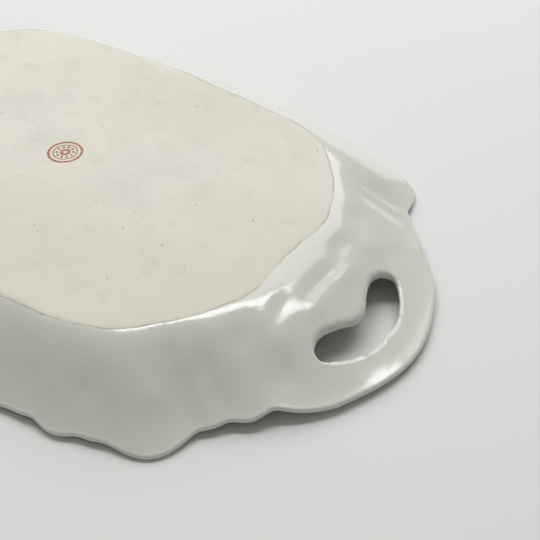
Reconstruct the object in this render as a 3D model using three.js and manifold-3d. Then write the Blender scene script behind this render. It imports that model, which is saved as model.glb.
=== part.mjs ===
// Porcelain platter with a moulded rim and two pierced handles, lying face down on a table.
// Millimetres, +Z up, X along the platter from handle to handle.
import * as THREE from 'three';
import { mergeVertices } from 'three/addons/utils/BufferGeometryUtils.js';
import Module from 'manifold-3d';

// Driving dimensions
const HEIGHT = 23.6;
const FLOOR_THICKNESS = 5.0;
const WALL_THICKNESS = 4.0;
const RIM_ROUNDING = 1.5;
const GLAZE_THICKNESS = 0.5;
const JOINT_GAP = 0.3;
const MARK_DIAMETER = 15.0;
const MARK_THICKNESS = 0.5;
const MARK_INNER_DIAMETER = 11.0;
const MARK_SEAT_MARGIN = 0.4;
const MARK_TOP_BELOW_BASE = 0.1;
const SLOT_GLAZE_MARGIN = 0.6;

// Quarter of the flat base's edge, from the handle end to the middle of a long side: x, y
const BASE_QUARTER = [
  [109.5, 0.0],
  [110.8, 20.0],
  [107.8, 32.0],
  [101.6, 44.5],
  [90.2, 58.5],
  [78.6, 66.7],
  [61.0, 72.0],
  [40.0, 73.6],
  [20.0, 74.8],
  [0.0, 76.0],
];

// Cusps where two lobes of the rim meet, over the same quarter: x, y, height above the table
const RIM_CUSPS = [
  [157.8, 35.6, 1.8],
  [141.8, 50.5, 5.0],
  [131.8, 61.9, 3.0],
  [125.1, 70.6, 1.6],
  [102.3, 92.5, 1.6],
  [93.6, 95.3, 1.6],
  [75.9, 98.8, 2.2],
  [66.0, 100.6, 1.6],
  [22.5, 101.0, 3.0],
];

// Lobes between the cusps, the first across the handle's tip and the last across the middle of
// a long side: swell outwards, dip of the middle below the ends, steps
const RIM_LOBES = [
  [10.7, 0.3, 10],
  [1.4, 0.6, 3],
  [2.4, 1.0, 3],
  [1.2, 0.2, 1],
  [8.4, 1.6, 6],
  [0.9, 0.2, 1],
  [2.8, 1.2, 3],
  [0.5, 0.2, 1],
  [4.4, 1.6, 5],
  [6.5, 2.2, 6],
];

// Half of a finger slot's edge, from its outer cusp round the end to its inner swell: x, y
const SLOT_HALF = [
  [155.0, 0.0],
  [156.3, 6.0],
  [154.0, 13.6],
  [150.0, 20.4],
  [144.6, 26.0],
  [140.4, 23.6],
  [139.0, 17.4],
  [141.6, 10.0],
  [144.6, 4.6],
  [145.5, 0.0],
];

// Shares of the way from the base's edge to the rim, where the wall has its rows of points
const WALL_ROWS = [0.0, 0.1, 0.24, 0.4, 0.58, 0.79, 1.0];
const FIRST_GLAZED_ROW = 1;
const LAST_GLAZED_ROW = 5;
// The handles fall away more gently than the sides: how the wall's fall is spread over its way
const SIDE_SPREAD = 0.85;
const HANDLE_SPREAD = 0.95;
const WALL_SWEEP = 2.4;

const wasm = await Module();
wasm.setup();

const clay = new THREE.MeshStandardMaterial({ name: 'biscuit porcelain', color: 0xe9e4d8, roughness: 0.8 });
const glaze = new THREE.MeshStandardMaterial({ name: 'clear glaze', color: 0xdfe5e0, roughness: 0.12 });
const pigment = new THREE.MeshStandardMaterial({ name: 'iron red pigment', color: 0x9c4a35, roughness: 0.6 });

function mix(a, b, share) {
  return a + (b - a) * share;
}

// Share of the wall's whole fall at a share of its way: level at the base, still falling at the rim
function fallen(share) {
  return share * share * (WALL_SWEEP - (WALL_SWEEP - 1) * share);
}

// The whole edge from one quarter of it, anticlockwise from the +X end
function wholeEdge(quarter) {
  const inner = quarter.slice(1, -1);
  const half = [...quarter, ...inner.toReversed().map(([x, y]) => [-x, y])];
  return [...half, ...half.map(([x, y]) => [-x, -y])];
}

// Points of the rim, lobe by lobe, anticlockwise: x, y, height
function rimPoints() {
  const half = [...RIM_CUSPS, ...RIM_CUSPS.toReversed().map(([x, y, z]) => [-x, y, z])];
  const cusps = [...half, ...half.map(([x, y, z]) => [-x, -y, z])];
  const halfLobes = [...RIM_LOBES.slice(1), ...RIM_LOBES.slice(1, -1).toReversed(), RIM_LOBES[0]];
  const lobes = [...halfLobes, ...halfLobes];
  return cusps.flatMap((cusp, index) => {
    const next = cusps[(index + 1) % cusps.length];
    const [swell, dip, steps] = lobes[index];
    const way = new THREE.Vector2(next[0] - cusp[0], next[1] - cusp[1]);
    const outwards = new THREE.Vector2(way.y, -way.x).normalize();
    return Array.from({ length: steps }, (_, step) => {
      const share = step / steps;
      const arch = Math.sin(Math.PI * share);
      return [
        mix(cusp[0], next[0], share) + outwards.x * swell * arch,
        mix(cusp[1], next[1], share) + outwards.y * swell * arch,
        mix(cusp[2], next[2], share) - dip * arch,
      ];
    });
  });
}

// Distance of the base's edge from the centre, in the direction of an angle
function baseRadius(edge, angle) {
  const turn = 2 * Math.PI;
  const after = edge.findIndex((point) => point.angle > angle);
  const high = after < 0 ? { ...edge[0], angle: edge[0].angle + turn } : edge[after];
  const before = after < 0 ? edge.length - 1 : after - 1;
  const low = before < 0 ? { ...edge.at(-1), angle: edge.at(-1).angle - turn } : edge[before];
  return mix(low.radius, high.radius, (angle - low.angle) / (high.angle - low.angle));
}

// One spoke for each point of the rim: its direction, both ends and how its wall falls
function makeSpokes() {
  const corners = wholeEdge(BASE_QUARTER).map(([x, y]) => new THREE.Vector3(x, y, 0));
  const curve = new THREE.CatmullRomCurve3(corners, true, 'centripetal');
  const edge = curve.getPoints(240).slice(0, -1).map((point) => ({
    angle: (Math.atan2(point.y, point.x) + 2 * Math.PI) % (2 * Math.PI),
    radius: Math.hypot(point.x, point.y),
  }));
  edge.sort((a, b) => a.angle - b.angle);
  return rimPoints().map(([x, y, z]) => {
    const angle = (Math.atan2(y, x) + 2 * Math.PI) % (2 * Math.PI);
    return {
      along: Math.cos(angle),
      across: Math.sin(angle),
      base: baseRadius(edge, angle),
      rim: Math.hypot(x, y),
      rimHeight: z,
      spread: mix(SIDE_SPREAD, HANDLE_SPREAD, Math.cos(angle) ** 4),
    };
  });
}

// Point of the platter's back on a spoke, at a share of its wall, lifted square to the surface
function backPoint(spoke, share, lift) {
  const step = 0.01;
  const top = (at) => mix(HEIGHT, spoke.rimHeight + WALL_THICKNESS, fallen(at ** spoke.spread));
  const reach = spoke.rim - RIM_ROUNDING - spoke.base;
  const low = Math.max(share - step, 0);
  const high = Math.min(share + step, 1);
  const slope = (top(high) - top(low)) / ((high - low) * reach);
  return {
    radius: spoke.base + reach * share,
    height: top(share) + lift * Math.hypot(1, slope),
  };
}

function placed(spoke, { radius, height }) {
  return [spoke.along * radius, spoke.across * radius, height];
}

// Closed mesh from rings of points that run round the platter, joined ring to ring. With closed
// ends the first and the last ring are filled to a point on the axis, otherwise they are joined.
function ringsMesh(rings, poles) {
  const count = rings[0].length;
  const positions = rings.flat(2);
  const faces = [];
  const bands = poles ? rings.length - 1 : rings.length;
  for (let band = 0; band < bands; band += 1) {
    const here = band * count;
    const there = ((band + 1) % rings.length) * count;
    for (let side = 0; side < count; side += 1) {
      const next = (side + 1) % count;
      faces.push(here + side, there + side, there + next);
      faces.push(here + side, there + next, here + next);
    }
  }
  if (poles) {
    const top = positions.length / 3;
    positions.push(0, 0, poles[0], 0, 0, poles[1]);
    const last = (rings.length - 1) * count;
    for (let side = 0; side < count; side += 1) {
      const next = (side + 1) % count;
      faces.push(top, side, next);
      faces.push(top + 1, last + next, last + side);
    }
  }
  const geometry = new THREE.BufferGeometry();
  geometry.setAttribute('position', new THREE.Float32BufferAttribute(positions, 3));
  geometry.setIndex(faces);
  return geometry;
}

function toManifold(geometry) {
  const bare = geometry.clone();
  bare.deleteAttribute('normal');
  bare.deleteAttribute('uv');
  const merged = mergeVertices(bare, 1e-4);
  return new wasm.Manifold(new wasm.Mesh({
    numProp: 3,
    vertProperties: Float32Array.from(merged.attributes.position.array),
    triVerts: Uint32Array.from(merged.index.array),
  }));
}

function fromManifold(solid) {
  const mesh = solid.getMesh();
  const geometry = new THREE.BufferGeometry();
  geometry.setAttribute('position', new THREE.Float32BufferAttribute(mesh.vertProperties, 3));
  geometry.setIndex(Array.from(mesh.triVerts));
  return geometry;
}

// Upright cutter of a finger slot's shape, wider than the slot by a margin all round
function slotCutter(end, margin) {
  const otherHalf = SLOT_HALF.slice(1, -1).toReversed().map(([x, y]) => [x, -y]);
  const corners = [...SLOT_HALF, ...otherHalf].map(([x, y]) => new THREE.Vector3(x, y, 0));
  const curve = new THREE.CatmullRomCurve3(corners, true, 'centripetal');
  const outline = curve.getPoints(32).slice(0, -1);
  const widened = outline.map((point, index) => {
    const before = outline.at(index - 1);
    const after = outline[(index + 1) % outline.length];
    const way = new THREE.Vector2(after.x - before.x, after.y - before.y).normalize();
    return new THREE.Vector2(end * (point.x + way.y * margin), end * (point.y - way.x * margin));
  });
  const geometry = new THREE.ExtrudeGeometry(new THREE.Shape(widened), {
    depth: HEIGHT * 2,
    bevelEnabled: false,
  });
  return toManifold(geometry.translate(0, 0, -HEIGHT / 2));
}

function cutSlots(solid, margin) {
  return solid.subtract(slotCutter(1, margin)).subtract(slotCutter(-1, margin));
}

// Clay body: flat base, falling wall, rounded rim, and the well's face below. Under a glaze it
// is drawn in by the coat, so that the coat's outside is the platter's outside.
function makeBody(spokes) {
  const coat = JOINT_GAP + GLAZE_THICKNESS;
  const glazed = WALL_ROWS.map((_, row) => row >= FIRST_GLAZED_ROW && row <= LAST_GLAZED_ROW);
  const back = WALL_ROWS.map((share, row) => spokes.map(
    (spoke) => placed(spoke, backPoint(spoke, share, glazed[row] ? -coat : 0)),
  ));
  const rim = spokes.map((spoke) => placed(spoke, {
    radius: spoke.rim,
    height: spoke.rimHeight + WALL_THICKNESS / 2,
  }));
  const face = WALL_ROWS.map((share, row) => spokes.map((spoke) => {
    const thickness = mix(FLOOR_THICKNESS, WALL_THICKNESS, share);
    return placed(spoke, backPoint(spoke, share, row <= LAST_GLAZED_ROW ? coat - thickness : -thickness));
  }));
  const poles = [HEIGHT, HEIGHT - FLOOR_THICKNESS + coat];
  const shell = ringsMesh([...back, rim, ...face.toReversed()], poles);
  const seat = new THREE.CylinderGeometry(
    MARK_DIAMETER / 2 + MARK_SEAT_MARGIN,
    MARK_DIAMETER / 2 + MARK_SEAT_MARGIN,
    2 * (MARK_TOP_BELOW_BASE + MARK_THICKNESS + JOINT_GAP),
    32,
  );
  seat.rotateX(Math.PI / 2).translate(0, 0, HEIGHT);
  return fromManifold(cutSlots(toManifold(shell), 0).subtract(toManifold(seat)));
}

// Glaze of the back: a coat over the wall, from the bare base to short of the rim's edge
function makeBackGlaze(spokes) {
  const rows = WALL_ROWS.slice(FIRST_GLAZED_ROW, LAST_GLAZED_ROW + 1);
  const outside = rows.map((share) => spokes.map(
    (spoke) => placed(spoke, backPoint(spoke, share, 0)),
  ));
  const inside = rows.toReversed().map((share) => spokes.map(
    (spoke) => placed(spoke, backPoint(spoke, share, -GLAZE_THICKNESS)),
  ));
  const shell = ringsMesh([...outside, ...inside], null);
  return fromManifold(cutSlots(toManifold(shell), SLOT_GLAZE_MARGIN));
}

// Glaze of the face: a coat over the well and its wall, to short of the rim's edge
function makeFaceGlaze(spokes) {
  const rows = WALL_ROWS.slice(0, LAST_GLAZED_ROW + 1);
  const ring = (share, lift) => spokes.map((spoke) => {
    const thickness = mix(FLOOR_THICKNESS, WALL_THICKNESS, share);
    return placed(spoke, backPoint(spoke, share, lift - thickness));
  });
  const inside = rows.map((share) => ring(share, GLAZE_THICKNESS));
  const outside = rows.toReversed().map((share) => ring(share, 0));
  const under = HEIGHT - FLOOR_THICKNESS;
  const shell = ringsMesh([...inside, ...outside], [under + GLAZE_THICKNESS, under]);
  return fromManifold(cutSlots(toManifold(shell), SLOT_GLAZE_MARGIN));
}

// Plain round mark in the middle of the base: a flat ring of pigment
function makeMark() {
  const outline = new THREE.Shape().absarc(0, 0, MARK_DIAMETER / 2, 0, 2 * Math.PI);
  outline.holes.push(new THREE.Path().absarc(0, 0, MARK_INNER_DIAMETER / 2, 0, 2 * Math.PI, true));
  const ring = new THREE.ExtrudeGeometry(outline, {
    depth: MARK_THICKNESS,
    bevelEnabled: false,
    curveSegments: 16,
  });
  return ring.translate(0, 0, HEIGHT - MARK_TOP_BELOW_BASE - MARK_THICKNESS);
}

function node(name, geometry, material) {
  const mesh = new THREE.Mesh(geometry, material);
  mesh.name = name;
  return mesh;
}

const spokes = makeSpokes();
const platter = new THREE.Group();
platter.name = 'porcelain_platter';
platter.add(node('porcelain_body', makeBody(spokes), clay));
platter.add(node('back_glaze', makeBackGlaze(spokes), glaze));
platter.add(node('face_glaze', makeFaceGlaze(spokes), glaze));
platter.add(node('back_mark', makeMark(), pigment));

export default platter;
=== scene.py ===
"""Looks of a porcelain platter that lies face down: clay, glaze, mark, table and light."""

import math

import bpy
import numpy as np
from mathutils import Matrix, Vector


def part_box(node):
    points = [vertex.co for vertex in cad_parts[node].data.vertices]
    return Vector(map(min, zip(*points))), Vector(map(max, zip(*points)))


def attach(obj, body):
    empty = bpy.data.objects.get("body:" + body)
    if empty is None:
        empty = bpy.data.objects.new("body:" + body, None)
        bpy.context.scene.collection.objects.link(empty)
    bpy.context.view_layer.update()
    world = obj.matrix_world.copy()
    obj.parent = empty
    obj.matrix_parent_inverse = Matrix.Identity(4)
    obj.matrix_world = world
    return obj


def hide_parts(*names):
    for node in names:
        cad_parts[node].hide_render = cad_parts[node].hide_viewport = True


bl_info = {
    "name": "Porcelain platter",
    "version": (1, 0, 0),
    "blender": (4, 5, 0),
    "location": "3D View > Sidebar > Platter",
    "description": "Builds a face-down porcelain platter with its clay, glaze and back mark",
    "category": "Add Mesh",
}

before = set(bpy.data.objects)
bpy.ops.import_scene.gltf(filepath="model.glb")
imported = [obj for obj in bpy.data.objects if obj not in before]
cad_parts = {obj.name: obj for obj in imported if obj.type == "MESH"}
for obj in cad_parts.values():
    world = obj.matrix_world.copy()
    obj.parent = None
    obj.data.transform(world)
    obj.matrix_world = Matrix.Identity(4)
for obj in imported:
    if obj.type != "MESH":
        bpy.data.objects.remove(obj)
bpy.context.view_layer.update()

MM = 0.001
BODY_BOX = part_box("porcelain_body")
MARK_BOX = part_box("back_mark")
HEIGHT = BODY_BOX[1].z / MM
MARK_RADIUS = MARK_BOX[1].x / MM
FLOOR_THICKNESS = 5.0
# The rim's edge is thinner and sharper here than in the solids
RIM_THICKNESS = 2.4
RIM_ROUNDING = 1.1

# Quarter of the flat base's edge, from the handle end to the middle of a long side: x, y in mm
BASE_QUARTER = (
    (109.5, 0.0),
    (110.8, 20.0),
    (107.8, 32.0),
    (101.6, 44.5),
    (90.2, 58.5),
    (78.6, 66.7),
    (61.0, 72.0),
    (40.0, 73.6),
    (20.0, 74.8),
    (0.0, 76.0),
)

# Cusps between the rim's lobes over the same quarter: x, y, height in mm
RIM_CUSPS = (
    (157.8, 35.6, 1.8),
    (141.8, 50.5, 5.0),
    (131.8, 61.9, 3.0),
    (125.1, 70.6, 1.6),
    (102.3, 92.5, 1.6),
    (93.6, 95.3, 1.6),
    (75.9, 98.8, 2.2),
    (66.0, 100.6, 1.6),
    (22.5, 101.0, 3.0),
)

# Lobes between the cusps, from the handle's tip on: swell outwards, dip of the middle in mm
RIM_LOBES = (
    (10.7, 0.3),
    (1.4, 0.6),
    (2.4, 1.0),
    (1.2, 0.2),
    (8.4, 1.6),
    (0.9, 0.2),
    (2.8, 1.2),
    (0.5, 0.2),
    (4.4, 1.6),
    (6.5, 2.2),
)
# Rounds of evening out, and closer points from the x in mm where a handle's tip begins
RIM_EVENING = 4
TIP_START = 150
TIP_SPACING = 0.5

# How the wall falls from the base to the rim, on the long sides and at the handles
SIDE_SPREAD = 0.85
HANDLE_SPREAD = 0.95
SIDE_SWEEP = 1.75
HANDLE_SWEEP = 2.4

# Half of a finger slot's edge, from its outer cusp round the end to its inner swell, in mm
SLOT_HALF = (
    (155.9, 0.0),
    (156.3, 6.0),
    (154.0, 13.6),
    (150.0, 20.4),
    (144.6, 26.0),
    (140.4, 23.6),
    (139.0, 17.4),
    (141.6, 10.0),
    (144.6, 4.6),
    (145.5, 0.0),
)
# The slot's edge: its rounding in mm and rounds of evening out. Points are tried for the
# rounding beyond the zone's x and within its y. The cutter reaches from low to high.
SLOT_ROUNDING = 1.0
SLOT_EVENING = 16
SLOT_ZONE = (134, 31)
CUTTER_LOW = -10.0
CUTTER_HIGH = 40.0

# Glaze line: way from the base's edge, and its waves as turns, size in mm and start
GLAZE_LINE_AWAY = 2.6
GLAZE_LINE_WAVES = (
    (3, 0.35, 0.4),
    (7, 0.30, 2.1),
    (13, 0.22, 4.0),
    (29, 0.14, 1.2),
    (61, 0.10, 5.3),
)
# Half of the share of the wall over which its slope is measured
SLOPE_STEP = 0.01

# Dents of one quarter of the wall: x, y, half widths along x and y, height, in mm
DENTS = (
    (127.0, 0.0, 3.2, 9.0, -0.55),
    (133.0, 11.0, 3.0, 6.5, 0.45),
    (124.0, 20.0, 4.0, 7.0, -0.50),
    (131.0, 31.0, 4.5, 6.0, 0.55),
    (120.0, 40.0, 4.0, 6.0, -0.55),
    (139.0, 38.0, 4.0, 5.0, -0.45),
    (116.0, 57.0, 4.0, 5.0, -0.45),
    (108.0, 74.0, 5.0, 5.0, 0.60),
    (88.0, 84.0, 5.0, 4.0, -0.45),
    (45.0, 90.0, 9.0, 4.0, 0.45),
    (22.0, 90.0, 4.0, 5.0, -0.50),
    (0.0, 91.0, 9.0, 4.5, 0.50),
)
DENT_FADE = 0.15

# Colours in the finishes
WARM_STAIN = (0.71, 0.67, 0.55, 1)
GREY_STAIN = (0.58, 0.57, 0.52, 1)
PINK_STAIN = (0.70, 0.62, 0.53, 1)
MOTTLE = (0.56, 0.53, 0.44, 1)
SCRATCH = (0.42, 0.38, 0.32, 1)
GLAZE_EDGE_STAIN = (0.38, 0.33, 0.24, 1)
IRON = (0.10, 0.06, 0.04, 1)
FINE_IRON = (0.17, 0.11, 0.07, 1)
BROWN_FLECK = (0.25, 0.13, 0.06, 1)
WORN_RED = (0.62, 0.40, 0.28, 1)
TABLE_LIGHT = (0.79, 0.79, 0.78, 1)
TABLE_DARK = (0.76, 0.76, 0.745, 1)

# The mark: bands and dots as shares of its radius, its thickness and how far it sinks in mm
MARK_BANDS = ((1.0, 0.86), (0.70, 0.63), (0.30, 0.12))
MARK_DOTS = 10
DOT_AWAY = 0.465
DOT_RADIUS = 0.085
MARK_THICKNESS = 0.04
MARK_SINK = 0.01

# Lamps: name, place, size and power. Both point at the platter.
LAMPS = (
    ("ceiling_strip", (-0.29, 0.41, 1.4), (1.6, 0.25), 10.2),
    ("back_panel", (-0.75, 1.05, 1.15), (2.2, 1.3), 17.5),
)
ROOM_COLOUR = (1, 0.995, 0.97, 1)
ROOM_LIGHT = 0.24
TABLE_SIZE = 8

# Camera of the photograph, found from the base, the rim and the slot
CAMERA_PLACE = Vector((0.267, -0.229, 0.269))
CAMERA_WAY = Vector((-0.4265, 0.6020, -0.6749))
CAMERA_LENS = 66.67


def mix(a, b, share):
    return a + (b - a) * share


def smooth(share):
    return share * share * (3 - 2 * share)


def fallen(share, sweep):
    """Share of the wall's fall at a share of its way: level at the base, falling at the rim."""
    return share * share * (sweep - (sweep - 1) * share)


def closed_curve(corners, steps):
    """Points of a closed smooth curve through the corners."""
    corners = np.asarray(corners, float)
    before = np.roll(corners, 1, 0)
    after = np.roll(corners, -1, 0)
    later = np.roll(corners, -2, 0)
    shares = np.arange(steps) / steps
    t = shares[None, :, None]
    points = 0.5 * (
        2 * corners[:, None]
        + (after - before)[:, None] * t
        + (2 * before - 5 * corners + 4 * after - later)[:, None] * t**2
        + (3 * corners - before - 3 * after + later)[:, None] * t**3
    )
    return points.reshape(-1, corners.shape[1])


def smooth_ring(values, passes):
    """Values that run round the platter, evened out with their neighbours."""
    for _ in range(passes):
        values = (np.roll(values, 1, 0) + 2 * values + np.roll(values, -1, 0)) / 4
    return values


def whole_edge(quarter):
    half = [*quarter, *[(-x, y) for x, y in reversed(quarter[1:-1])]]
    return [*half, *[(-x, -y) for x, y in half]]


def slot_outline(end, steps=12):
    corners = [*SLOT_HALF, *[(x, -y) for x, y in reversed(SLOT_HALF[1:-1])]]
    points = smooth_ring(closed_curve(corners, steps), SLOT_EVENING)
    points[:, 0] *= end
    return points


def rim_ring(spacing):
    """Points of the rim, lobe by lobe, anticlockwise: x, y, height in mm."""
    half = [*RIM_CUSPS, *[(-x, y, z) for x, y, z in reversed(RIM_CUSPS)]]
    cusps = [*half, *[(-x, -y, z) for x, y, z in half]]
    half_lobes = [*RIM_LOBES[1:], *reversed(RIM_LOBES[1:-1]), RIM_LOBES[0]]
    lobes = half_lobes + half_lobes
    ring = []
    for index, cusp in enumerate(cusps):
        after = cusps[(index + 1) % len(cusps)]
        swell, dip = lobes[index]
        way = np.array(after[:2]) - np.array(cusp[:2])
        length = np.hypot(*way)
        outwards = np.array((way[1], -way[0])) / length
        at_tip = min(abs(cusp[0]), abs(after[0])) > TIP_START
        steps = max(4, round(length / (spacing * (TIP_SPACING if at_tip else 1))))
        share = np.arange(steps) / steps
        arch = np.sin(np.pi * share)
        ring.append(
            np.column_stack(
                (
                    mix(cusp[0], after[0], share) + outwards[0] * swell * arch,
                    mix(cusp[1], after[1], share) + outwards[1] * swell * arch,
                    mix(cusp[2], after[2], share) - dip * arch,
                )
            )
        )
    return smooth_ring(np.concatenate(ring), RIM_EVENING)


class Spokes:
    """The lines on which the platter's surfaces are laid out, one for each point of the rim."""

    def __init__(self, spacing):
        ring = rim_ring(spacing)
        edge = closed_curve(whole_edge(BASE_QUARTER), 16)
        edge_angle = np.arctan2(edge[:, 1], edge[:, 0])
        order = np.argsort(edge_angle)
        self.angle = np.arctan2(ring[:, 1], ring[:, 0])
        self.base = np.interp(
            self.angle,
            edge_angle[order],
            np.hypot(edge[:, 0], edge[:, 1])[order],
            period=2 * math.pi,
        )
        self.rim = np.hypot(ring[:, 0], ring[:, 1])
        self.rim_height = ring[:, 2]
        at_handle = np.cos(self.angle) ** 4
        self.spread = mix(SIDE_SPREAD, HANDLE_SPREAD, at_handle)
        self.sweep = mix(SIDE_SWEEP, HANDLE_SWEEP, at_handle)
        self.glaze_line = self.wiped_line()

    def wiped_line(self):
        """Share of the wall at which the hand-wiped glaze begins, on each spoke."""
        wave = sum(
            size * np.sin(turns * self.angle + start) for turns, size, start in GLAZE_LINE_WAVES
        )
        return (GLAZE_LINE_AWAY + wave) / (self.rim - RIM_ROUNDING - self.base)

    def height(self, share):
        top = self.rim_height + RIM_THICKNESS
        return mix(HEIGHT, top, fallen(np.clip(share, 0, 1) ** self.spread, self.sweep))

    def surface(self, share, lift):
        """Radius and height at a share of the wall, lifted square to the back's surface."""
        reach = self.rim - RIM_ROUNDING - self.base
        low = np.clip(share - SLOPE_STEP, 0, 1)
        high = np.clip(share + SLOPE_STEP, 0, 1)
        slope = (self.height(high) - self.height(low)) / ((high - low) * reach)
        long = np.hypot(1, slope)
        return self.base + reach * share, self.height(share) + lift * long

    def place(self, radius, height):
        return np.column_stack((np.cos(self.angle) * radius, np.sin(self.angle) * radius, height))


def dents(x, y):
    """Soft hollows and swells that the face's moulding leaves on the back of the wall, in mm."""
    total = np.zeros_like(x)
    ax = np.abs(x)
    ay = np.abs(y)
    for px, py, wide, long, depth in DENTS:
        total += depth * np.exp(-(((ax - px) / wide) ** 2) - ((ay - py) / long) ** 2)
    return total


def inside_outline(points, outline):
    """Which points lie inside a closed outline."""
    x, y = points[:, 0, None], points[:, 1, None]
    x0, y0 = outline[:, 0], outline[:, 1]
    x1, y1 = np.roll(x0, -1), np.roll(y0, -1)
    crosses = (y0 > y) != (y1 > y)
    at = x0 + (y - y0) * (x1 - x0) / np.where(y1 == y0, 1e-9, y1 - y0)
    return (crosses & (x < at)).sum(1) % 2 == 1


def slot_drop(points, margin):
    """How far each point sinks in the rounding of a finger slot's edge, in mm."""
    drop = np.zeros(len(points))
    along, across = np.abs(points[:, :2]).T
    near = np.nonzero((along > SLOT_ZONE[0]) & (across < SLOT_ZONE[1]))[0]
    for end in (1, -1):
        outline = slot_outline(end)
        side = near[points[near, 0] * end > 0]
        flat = points[side, :2]
        away = np.sqrt(((flat[:, None] - outline[None]) ** 2).sum(2)).min(1)
        away[inside_outline(flat, outline)] = 0
        left = np.clip(SLOT_ROUNDING - np.clip(away - margin, 0, None), 0, None)
        drop[side] = SLOT_ROUNDING - np.sqrt(SLOT_ROUNDING**2 - left**2)
    return drop


def wall_rows(count):
    """Shares of the wall, closer together where the slots are cut."""
    even = np.linspace(0, 1, count)
    return even - 0.055 * np.sin(2 * np.pi * (even - 0.12)) * np.sin(np.pi * even)


def grid_faces(rings, count, material):
    """Faces that join each ring to the next, and the material index of each."""
    here = np.arange(count)
    there = np.roll(here, -1)
    faces = []
    for row in range(rings - 1):
        low = row * count
        high = low + count
        faces.append(np.column_stack((low + here, high + here, high + there, low + there)))
    return np.concatenate(faces), np.repeat(material, count)


def mesh_object(name, points, faces):
    mesh = bpy.data.meshes.new(name)
    mesh.from_pydata((points * MM).tolist(), [], faces)
    mesh.update()
    piece = bpy.data.objects.new(name, mesh)
    bpy.context.scene.collection.objects.link(piece)
    return piece


def choose(piece):
    """Makes one piece active and selected, and nothing else."""
    bpy.ops.object.select_all(action="DESELECT")
    piece.select_set(True)
    bpy.context.view_layer.objects.active = piece


def slot_cutter(end, margin):
    outline = slot_outline(1)
    way = np.roll(outline, -1, 0) - np.roll(outline, 1, 0)
    way /= np.hypot(way[:, 0], way[:, 1])[:, None]
    outline = outline + margin * np.column_stack((way[:, 1], -way[:, 0]))
    outline[:, 0] *= end
    count = len(outline)
    low = np.column_stack((outline, np.full(count, CUTTER_LOW)))
    high = np.column_stack((outline, np.full(count, CUTTER_HIGH)))
    here = np.arange(count)
    there = np.roll(here, -1)
    sides = np.column_stack((here, there, count + there, count + here)).tolist()
    cutter = mesh_object("slot_cutter", np.concatenate((low, high)), sides)
    choose(cutter)
    bpy.ops.object.mode_set(mode="EDIT")
    bpy.ops.mesh.select_all(action="SELECT")
    bpy.ops.mesh.fill_holes(sides=0)
    bpy.ops.mesh.normals_make_consistent(inside=False)
    bpy.ops.object.mode_set(mode="OBJECT")
    return cutter


def cut_slots(piece, margin):
    """Cuts both finger slots, then sinks what lies round them to a rounded edge."""
    for end in (1, -1):
        cutter = slot_cutter(end, margin)
        choose(piece)
        bpy.ops.object.modifier_add(type="BOOLEAN")
        cut = piece.modifiers[-1]
        cut.operation = "DIFFERENCE"
        cut.solver = "EXACT"
        cut.object = cutter
        cut.material_mode = "INDEX"
        bpy.ops.object.modifier_apply(modifier=cut.name)
        bpy.data.objects.remove(cutter)
    round_slots(piece.data, margin)


def round_slots(mesh, margin):
    points = np.empty(len(mesh.vertices) * 3)
    mesh.vertices.foreach_get("co", points)
    points = points.reshape(-1, 3) / MM
    up = middle_side(points)
    points[:, 2] -= up * slot_drop(points, margin)
    mesh.vertices.foreach_set("co", (points * MM).ravel())
    mesh.update()


def middle_side(points):
    """1 for points on the handle's back and -1 for those on its face."""
    spokes = Spokes(COARSE_SPACING)
    angle = np.arctan2(points[:, 1], points[:, 0])
    order = np.argsort(spokes.angle)

    def along(values):
        return np.interp(angle, spokes.angle[order], values[order], period=2 * math.pi)

    base = along(spokes.base)
    reach = along(spokes.rim) - RIM_ROUNDING - base
    share = np.clip((np.hypot(points[:, 0], points[:, 1]) - base) / reach, 0, 1)
    top = along(spokes.rim_height) + RIM_THICKNESS
    back = mix(HEIGHT, top, fallen(share ** along(spokes.spread), along(spokes.sweep)))
    return np.where(points[:, 2] > back - 0.5 * mix(FLOOR_THICKNESS, RIM_THICKNESS, share), 1, -1)


BACK, EDGE, FACE, CAP = range(4)
COARSE_SPACING = 2.5
CLAY_SPACING_TIMES = 1.6
BASE_SINK = 0.02
# Rings of the bare base, as their way inwards from the glaze line in mm
BASE_RINGS = (0.0, 0.35, 0.8, 1.4, 2.2, 3.2, 5.0, 9.0, 20.0, 40.0, 60.0)
LEAST_RADIUS = 2.0
COAT = 0.25
CLAY_INSET = 0.6
BACK_ROW_COUNT = 54
FACE_ROW_COUNT = 34
EDGE_STEPS = 6
FLOOR_RINGS = (0.97, 0.8, 0.55, 0.28)


def shell_rings(spokes, inset, first):
    """Rings of a closed platter: back wall from its first share, rim's edge, face and floor."""
    rings = []
    kinds = []
    for row in wall_rows(BACK_ROW_COUNT):
        share = first + (1 - first) * row
        radius, height = spokes.surface(share, -inset)
        rings.append(spokes.place(radius, height))
        kinds.append(BACK)
    middle = spokes.rim_height + RIM_THICKNESS / 2
    for step in range(1, EDGE_STEPS):
        turn = math.pi * (0.5 - step / EDGE_STEPS)
        radius = spokes.rim - RIM_ROUNDING + (RIM_ROUNDING - inset) * math.cos(turn)
        rings.append(spokes.place(radius, middle + (RIM_THICKNESS / 2 - inset) * math.sin(turn)))
        kinds.append(EDGE)
    for row in wall_rows(FACE_ROW_COUNT)[::-1]:
        thickness = mix(FLOOR_THICKNESS, RIM_THICKNESS, row)
        rings.append(spokes.place(*spokes.surface(np.full_like(spokes.rim, row), inset - thickness)))
        kinds.append(FACE)
    under = HEIGHT - FLOOR_THICKNESS + inset
    for share in FLOOR_RINGS:
        rings.append(spokes.place(spokes.base * share, np.full_like(spokes.rim, under)))
        kinds.append(FACE)
    return rings, kinds, under


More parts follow.
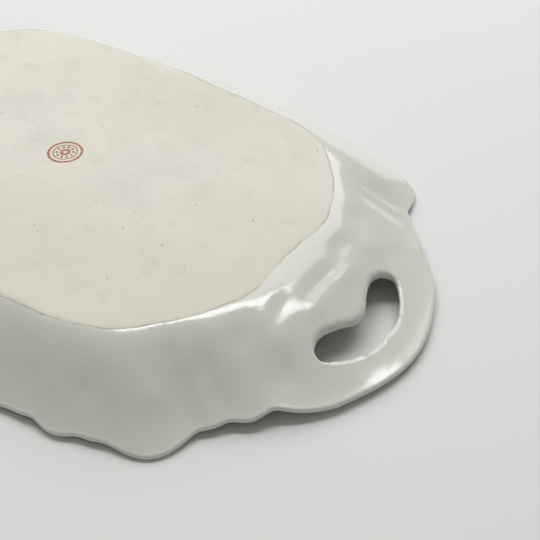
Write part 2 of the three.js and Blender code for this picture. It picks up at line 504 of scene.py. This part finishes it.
def shaped(rings):
    """The rings' points with the dents of the moulding, and none below the table."""
    points = np.concatenate(rings)
    count = len(rings[0])
    share = np.concatenate(
        (
            np.repeat(wall_rows(BACK_ROW_COUNT), count),
            np.ones((EDGE_STEPS - 1) * count),
            np.repeat(wall_rows(FACE_ROW_COUNT)[::-1], count),
            np.zeros(len(FLOOR_RINGS) * count),
        )
    )
    fade_in = smooth(np.clip(share / DENT_FADE, 0, 1))
    fade = fade_in * smooth(np.clip((1 - share) / DENT_FADE, 0, 1))
    points[:, 2] += dents(points[:, 0], points[:, 1]) * fade
    points[:, 2] = np.maximum(points[:, 2], 0)
    return points


def finish_shape(piece, sharp=60):
    choose(piece)
    bpy.ops.object.shade_smooth_by_angle(angle=math.radians(sharp))


def make_coat(spokes):
    """Closed outer form of the glaze, with its slots cut and the base still covered by a cap."""
    rings, kinds, under = shell_rings(spokes, 0, spokes.glaze_line)
    points = shaped(rings)
    count = len(spokes.rim)
    faces, materials = grid_faces(len(rings), count, kinds[1:])
    top = len(points)
    points = np.concatenate((points, [(0, 0, HEIGHT), (0, 0, under)]))
    here = np.arange(count)
    there = np.roll(here, -1)
    last = (len(rings) - 1) * count
    cap = np.column_stack((np.full(count, top), here, there))
    floor = np.column_stack((np.full(count, top + 1), last + there, last + here))
    piece = mesh_object("glaze_form", points, [*faces.tolist(), *cap.tolist(), *floor.tolist()])
    for _ in (BACK, EDGE, FACE, CAP):
        piece.data.materials.append(None)
    index = np.concatenate((materials, np.full(count, CAP), np.full(count, FACE)))
    piece.data.polygons.foreach_set("material_index", index.astype(np.int32))
    cut_slots(piece, 0)
    return piece


def coat_part(form, name, keep):
    """One coat cut out of the glaze's form: only the faces of the kinds to keep, made thick."""
    piece = form.copy()
    piece.data = form.data.copy()
    piece.name = name
    piece.data.name = name
    bpy.context.scene.collection.objects.link(piece)
    choose(piece)
    bpy.context.tool_settings.mesh_select_mode = (False, False, True)
    piece.data.vertices.foreach_set("select", [False] * len(piece.data.vertices))
    piece.data.edges.foreach_set("select", [False] * len(piece.data.edges))
    unwanted = [face.material_index not in keep for face in piece.data.polygons]
    piece.data.polygons.foreach_set("select", unwanted)
    bpy.ops.object.mode_set(mode="EDIT")
    bpy.ops.mesh.delete(type="FACE")
    bpy.ops.object.mode_set(mode="OBJECT")
    piece.data.materials.clear()
    piece.data.polygons.foreach_set("material_index", [0] * len(piece.data.polygons))
    bpy.ops.object.modifier_add(type="SOLIDIFY")
    thick = piece.modifiers[-1]
    thick.thickness = COAT * MM
    thick.offset = -1
    thick.use_even_offset = False
    bpy.ops.object.modifier_apply(modifier=thick.name)
    return piece


class Wired:
    """A shader socket with arithmetic."""

    def __init__(self, tree, socket):
        self.tree = tree
        self.socket = socket

    def maths(self, operation, *values):
        return node(self.tree, "ShaderNodeMath", {"operation": operation}, dict(enumerate(values)))[0]

    def __add__(self, other):
        return self.maths("ADD", self, other)

    def __mul__(self, other):
        return self.maths("MULTIPLY", self, other)

    def __rsub__(self, other):
        return self.maths("SUBTRACT", other, self)

    def __gt__(self, other):
        return self.maths("GREATER_THAN", self, other)

    def between(self, low, high):
        """0 below low, 1 above high and smooth between them."""
        made = node(
            self.tree,
            "ShaderNodeMapRange",
            {"interpolation_type": "SMOOTHSTEP"},
            {"Value": self, "From Min": low, "From Max": high},
        )
        return made[0]


def node(tree, kind, settings=None, inputs=None):
    """Adds a node with its settings and inputs, and returns its outputs."""
    made = tree.nodes.new(kind)
    for name, value in (settings or {}).items():
        setattr(made, name, value)
    for name, value in (inputs or {}).items():
        if isinstance(value, Wired):
            tree.links.new(value.socket, made.inputs[name])
        else:
            made.inputs[name].default_value = value
    return [Wired(tree, socket) for socket in made.outputs]


def named(outputs, name):
    return next(output for output in outputs if output.socket.name == name)


class Finish:
    """A material whose look is built from nodes on Object coordinates."""

    def __init__(self, name):
        self.material = bpy.data.materials.new(name)
        self.material.use_nodes = True
        self.tree = self.material.node_tree
        self.shader = self.tree.nodes["Principled BSDF"]
        self.place = named(node(self.tree, "ShaderNodeTexCoord"), "Object")

    def noise(self, scale, detail=4.0, rough=0.55, shift=(0, 0, 0), stretch=(1, 1, 1), turn=0.0):
        place = node(
            self.tree,
            "ShaderNodeMapping",
            None,
            {"Vector": self.place, "Location": shift, "Scale": stretch, "Rotation": (0, 0, turn)},
        )[0]
        inputs = {"Vector": place, "Scale": scale, "Detail": detail, "Roughness": rough}
        return node(self.tree, "ShaderNodeTexNoise", None, inputs)[0]

    def cells(self, scale, shift=(0, 0, 0)):
        place = node(self.tree, "ShaderNodeMapping", None, {"Vector": self.place, "Location": shift})[0]
        inputs = {"Vector": place, "Scale": scale}
        made = node(self.tree, "ShaderNodeTexVoronoi", None, inputs)
        return named(made, "Distance"), named(made, "Color")

    def attribute(self, name):
        made = node(self.tree, "ShaderNodeAttribute", {"attribute_name": name})
        return named(made, "Fac")

    def blend(self, share, first, second):
        made = node(self.tree, "ShaderNodeMix", {"data_type": "RGBA"}, {0: share, 6: first, 7: second})
        return made[2]

    def feed(self, name, value):
        self.tree.links.new(value.socket, self.shader.inputs[name])

    def fixed(self, **values):
        for name, value in values.items():
            self.shader.inputs[name.replace("_", " ")].default_value = value

    def bump(self, height, distance, strength=1.0):
        inputs = {"Height": height, "Distance": distance, "Strength": strength}
        self.feed("Normal", node(self.tree, "ShaderNodeBump", None, inputs)[0])


def specks(finish, scale, size, rare, shift=(0, 0, 0)):
    """Small dots: in few of the cells, and smaller than a cell by the given share."""
    distance, colour = finish.cells(scale, shift)
    pick = node(finish.tree, "ShaderNodeSeparateColor", None, {"Color": colour})[0]
    return (1 - distance.between(size * 0.5, size)) * (pick > 1 - rare)


def biscuit(settings):
    """Bare fired clay: ivory, matt, stained and speckled, darker in a line where glaze begins."""
    finish = Finish("bare biscuit porcelain")
    inner = finish.attribute("inside_line")
    warm = finish.noise(14, 5, 0.6).between(0.42, 0.68)
    grey = finish.noise(22, 4, 0.6, (3, 1, 0)).between(0.5, 0.75)
    pink = finish.noise(9, 3, 0.5, (7, 5, 0)).between(0.52, 0.75)
    fine = finish.noise(900, 3, 0.6)
    colour = finish.blend(warm * 0.55, (*settings.clay, 1), WARM_STAIN)
    colour = finish.blend(grey * 0.30, colour, GREY_STAIN)
    colour = finish.blend(pink * 0.16, colour, PINK_STAIN)
    mottle = finish.noise(85, 5, 0.7, (9, 2, 0)).between(0.5, 0.72)
    colour = finish.blend(mottle * 0.26, colour, MOTTLE)
    scratch = finish.noise(60, 2, 0.5, (0, 0, 0), (0.05, 3.0, 1), 0.7).between(0.66, 0.72)
    colour = finish.blend(scratch * 0.18, colour, SCRATCH)
    ragged = finish.noise(160, 4, 0.7) * 1.6 + inner
    line = (1 - ragged.between(0.9, 1.9)) * finish.noise(45, 3, 0.6, (2, 2, 0)).between(0.3, 0.6)
    colour = finish.blend(line * 0.62, colour, GLAZE_EDGE_STAIN)
    iron = specks(finish, 210, 0.11, 0.07)
    small_iron = specks(finish, 480, 0.15, 0.10, (4, 4, 0))
    colour = finish.blend(iron * 0.7, colour, IRON)
    colour = finish.blend(small_iron * 0.75, colour, FINE_IRON)
    finish.feed("Base Color", colour)
    finish.feed("Roughness", fine * 0.2 + 0.62)
    finish.bump(fine + finish.noise(240, 3) * 0.6, 0.00012, 0.5)
    finish.fixed(Specular_IOR_Level=0.35)
    return finish.material


def glassy(name, tint, settings):
    """Clear glaze over white clay: glossy, slightly green and grey where it lies thick."""
    finish = Finish(name)
    cloud = finish.noise(16, 4, 0.55).between(0.35, 0.7)
    colour = finish.blend(cloud * 0.5, (*tint, 1), tuple(0.93 * c for c in tint) + (1,))
    brown = specks(finish, 95, 0.10, 0.035, (1, 6, 0))
    colour = finish.blend(brown * 0.7, colour, BROWN_FLECK)
    finish.feed("Base Color", colour)
    finish.feed("Roughness", finish.noise(55, 3) * 0.08 + settings.gloss)
    waves = finish.noise(38, 2, 0.5) * 2.2 + finish.noise(80, 3, 0.5) * 0.8
    finish.bump(waves + finish.noise(520, 2) * 0.08, 0.0004, 0.6)
    finish.fixed(IOR=1.52, Coat_Weight=0.3, Coat_Roughness=0.08)
    return finish.material


def pigment(settings):
    """Iron red printed on bare clay, thin and worn in places."""
    finish = Finish("iron red print")
    worn = finish.noise(900, 4, 0.65).between(0.42, 0.64)
    colour = finish.blend(worn * 0.65, (*settings.red, 1), WORN_RED)
    finish.feed("Base Color", colour)
    finish.feed("Roughness", finish.noise(1400, 2) * 0.2 + 0.55)
    finish.bump(finish.noise(1500, 2), 0.00005, 0.4)
    return finish.material


class PlatterSettings(bpy.types.PropertyGroup):
    """Colours and gloss of the platter's finishes, and how finely it is made"""

    clay: bpy.props.FloatVectorProperty(
        name="Clay",
        description="Colour of the bare clay",
        size=3,
        subtype="COLOR",
        default=(0.79, 0.775, 0.68),
    )
    glaze: bpy.props.FloatVectorProperty(
        name="Glaze", description="Colour of the glaze", size=3, subtype="COLOR", default=(0.75, 0.768, 0.685)
    )
    red: bpy.props.FloatVectorProperty(
        name="Mark", description="Colour of the mark", size=3, subtype="COLOR", default=(0.36, 0.09, 0.05)
    )
    gloss: bpy.props.FloatProperty(
        name="Gloss",
        description="Least roughness of the glaze",
        default=0.09,
        min=0.0,
        max=1.0,
        subtype="FACTOR",
    )
    spacing: bpy.props.FloatProperty(
        name="Spacing", description="Way between spokes on the rim", default=1.25, min=0.5, max=5.0
    )


def settings_of(context):
    return context.scene.platter


def settle(piece, slot, *nodes):
    """The piece rides on the platter and stands for its nodes."""
    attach(piece, "root")
    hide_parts(*nodes)


class PLATTER_OT_clay(bpy.types.Operator):
    """Makes the clay body with its bare base"""

    bl_idname = "platter.clay"
    bl_label = "Clay body"

    def execute(self, context):
        settings = settings_of(context)
        spokes = Spokes(settings.spacing * CLAY_SPACING_TIMES)
        rings, _, under = shell_rings(spokes, CLAY_INSET, spokes.glaze_line)
        points = shaped(rings)
        count = len(spokes.rim)
        faces, _ = grid_faces(len(rings), count, np.zeros(len(rings) - 1, int))
        line, _ = spokes.surface(spokes.glaze_line, 0)
        base_rings = []
        inside = []
        for away in BASE_RINGS:
            radius = np.maximum(line - away, LEAST_RADIUS)
            share = (radius - spokes.base) / (spokes.rim - RIM_ROUNDING - spokes.base)
            base_rings.append(spokes.place(radius, spokes.height(share) - BASE_SINK))
            inside.append(np.full(count, away))
        start = len(points)
        poles = [(0, 0, HEIGHT - BASE_SINK), (0, 0, under)]
        points = np.concatenate((points, *base_rings, poles))
        here = np.arange(count)
        there = np.roll(here, -1)
        joined = [np.column_stack((start + here, here, there, start + there))]
        for row in range(len(BASE_RINGS) - 1):
            low = start + row * count
            high = low + count
            joined.append(np.column_stack((high + here, low + here, low + there, high + there)))
        last_base = start + (len(BASE_RINGS) - 1) * count
        pole = start + len(BASE_RINGS) * count
        last = (len(rings) - 1) * count
        cap = np.column_stack((np.full(count, pole), last_base + here, last_base + there))
        floor = np.column_stack((np.full(count, pole + 1), last + there, last + here))
        quads = [*faces.tolist(), *np.concatenate(joined).tolist(), *cap.tolist(), *floor.tolist()]
        piece = mesh_object("clay_body", points, quads)
        mark = piece.data.attributes.new("inside_line", "FLOAT", "POINT")
        depth = np.concatenate((np.zeros(start), *inside, (BASE_RINGS[-1], 0.0)))
        mark.data.foreach_set("value", depth.astype(np.float32))
        cut_slots(piece, CLAY_INSET)
        piece.data.materials.clear()
        piece.data.materials.append(biscuit(settings))
        piece.data.polygons.foreach_set("material_index", [0] * len(piece.data.polygons))
        finish_shape(piece)
        settle(piece, "clay_body", "porcelain_body")
        return {"FINISHED"}


class PLATTER_OT_glaze(bpy.types.Operator):
    """Makes the glaze coats of the back and of the face"""

    bl_idname = "platter.glaze"
    bl_label = "Glaze coats"

    def execute(self, context):
        settings = settings_of(context)
        form = make_coat(Spokes(settings.spacing))
        tint = tuple(settings.glaze)
        for name, slot, keep in (
            ("back_glaze_coat", "back_glaze", (BACK, EDGE)),
            ("face_glaze_coat", "face_glaze", (FACE,)),
        ):
            piece = coat_part(form, name, keep)
            piece.data.materials.append(glassy(slot.replace("_", " "), tint, settings))
            finish_shape(piece)
            settle(piece, slot, slot)
        bpy.data.objects.remove(form)
        return {"FINISHED"}


class PLATTER_OT_mark(bpy.types.Operator):
    """Makes the plain round mark on the base: two rings and a dotted middle"""

    bl_idname = "platter.mark"
    bl_label = "Back mark"

    def execute(self, context):
        parts = [self.band(MARK_RADIUS * high, MARK_RADIUS * low) for high, low in MARK_BANDS]
        for number in range(MARK_DOTS):
            turn = 2 * math.pi * number / MARK_DOTS
            parts.append(self.dot(turn, MARK_RADIUS * DOT_AWAY, MARK_RADIUS * DOT_RADIUS))
        choose(parts[0])
        for part in parts[1:]:
            part.select_set(True)
        bpy.ops.object.join()
        piece = bpy.context.object
        piece.name = "printed_mark"
        bpy.ops.object.transform_apply(location=True, rotation=True, scale=True)
        piece.data.materials.clear()
        piece.data.materials.append(pigment(settings_of(context)))
        settle(piece, "mark_pigment", "back_mark")
        return {"FINISHED"}

    def band(self, outer, inner):
        """A thin flat ring, made from a disc whose middle is inset and deleted."""
        bpy.ops.object.select_all(action="DESELECT")
        bpy.ops.mesh.primitive_circle_add(
            vertices=96,
            radius=outer * MM,
            fill_type="NGON",
            location=(0, 0, (HEIGHT - MARK_SINK) * MM),
        )
        piece = bpy.context.object
        bpy.ops.object.mode_set(mode="EDIT")
        bpy.ops.mesh.select_all(action="SELECT")
        bpy.ops.mesh.inset(thickness=(outer - inner) * MM)
        bpy.ops.mesh.delete(type="FACE")
        bpy.ops.object.mode_set(mode="OBJECT")
        return self.thickened(piece)

    def dot(self, turn, away, radius):
        bpy.ops.object.select_all(action="DESELECT")
        place = Vector((math.cos(turn) * away, math.sin(turn) * away, HEIGHT - MARK_SINK)) * MM
        bpy.ops.mesh.primitive_circle_add(
            vertices=20, radius=radius * MM, fill_type="NGON", location=place
        )
        return self.thickened(bpy.context.object)

    def thickened(self, piece):
        choose(piece)
        bpy.ops.object.modifier_add(type="SOLIDIFY")
        thick = piece.modifiers[-1]
        thick.thickness = MARK_THICKNESS * MM
        thick.offset = 0
        bpy.ops.object.modifier_apply(modifier=thick.name)
        return piece


class PLATTER_OT_stage(bpy.types.Operator):
    """Makes the table top, the lamps and the camera"""

    bl_idname = "platter.stage"
    bl_label = "Table, light and camera"

    def execute(self, context):
        scene = context.scene
        bpy.ops.object.select_all(action="DESELECT")
        bpy.ops.mesh.primitive_plane_add(size=TABLE_SIZE, location=(0, 0, 0))
        table = context.object
        table.name = "table_top"
        table.data.materials.append(self.table_finish())
        for name, place, size, power in LAMPS:
            bpy.ops.object.light_add(type="AREA", location=place)
            lamp = context.object
            lamp.name = name
            lamp.data.shape = "RECTANGLE"
            lamp.data.size, lamp.data.size_y = size
            lamp.data.energy = power
            lamp.rotation_euler = (-Vector(place)).to_track_quat("-Z", "Y").to_euler()
        world = bpy.data.worlds.new("room")
        world.use_nodes = True
        background = world.node_tree.nodes["Background"]
        background.inputs["Color"].default_value = ROOM_COLOUR
        background.inputs["Strength"].default_value = ROOM_LIGHT
        scene.world = world
        bpy.ops.object.camera_add(location=CAMERA_PLACE)
        camera = context.object
        camera.rotation_euler = CAMERA_WAY.to_track_quat("-Z", "Y").to_euler()
        camera.data.sensor_width = 36
        camera.data.lens = CAMERA_LENS
        camera.data.clip_start = 0.01
        scene.camera = camera
        scene.view_settings.view_transform = "Standard"
        return {"FINISHED"}

    def table_finish(self):
        finish = Finish("pale table top")
        cloud = finish.noise(3, 3)
        finish.feed("Base Color", finish.blend(cloud * 0.4, TABLE_LIGHT, TABLE_DARK))
        finish.feed("Roughness", cloud * 0.1 + 0.6)
        return finish.material


STEPS = (PLATTER_OT_clay, PLATTER_OT_glaze, PLATTER_OT_mark, PLATTER_OT_stage)


class PLATTER_PT_steps(bpy.types.Panel):
    """The platter's pieces, in the order they are made"""

    bl_label = "Porcelain platter"
    bl_space_type = "VIEW_3D"
    bl_region_type = "UI"
    bl_category = "Platter"

    def draw(self, context):
        for name in ("clay", "glaze", "red", "gloss", "spacing"):
            self.layout.prop(settings_of(context), name)
        for step in STEPS:
            self.layout.operator(step.bl_idname)


CLASSES = (PlatterSettings, *STEPS, PLATTER_PT_steps)


def register():
    for kind in CLASSES:
        bpy.utils.register_class(kind)
    bpy.types.Scene.platter = bpy.props.PointerProperty(type=PlatterSettings)


def unregister():
    del bpy.types.Scene.platter
    for kind in reversed(CLASSES):
        bpy.utils.unregister_class(kind)


def main():
    register()
    bpy.ops.platter.stage()
    bpy.ops.platter.clay()
    bpy.ops.platter.glaze()
    bpy.ops.platter.mark()


if __name__ == "__main__":
    main()
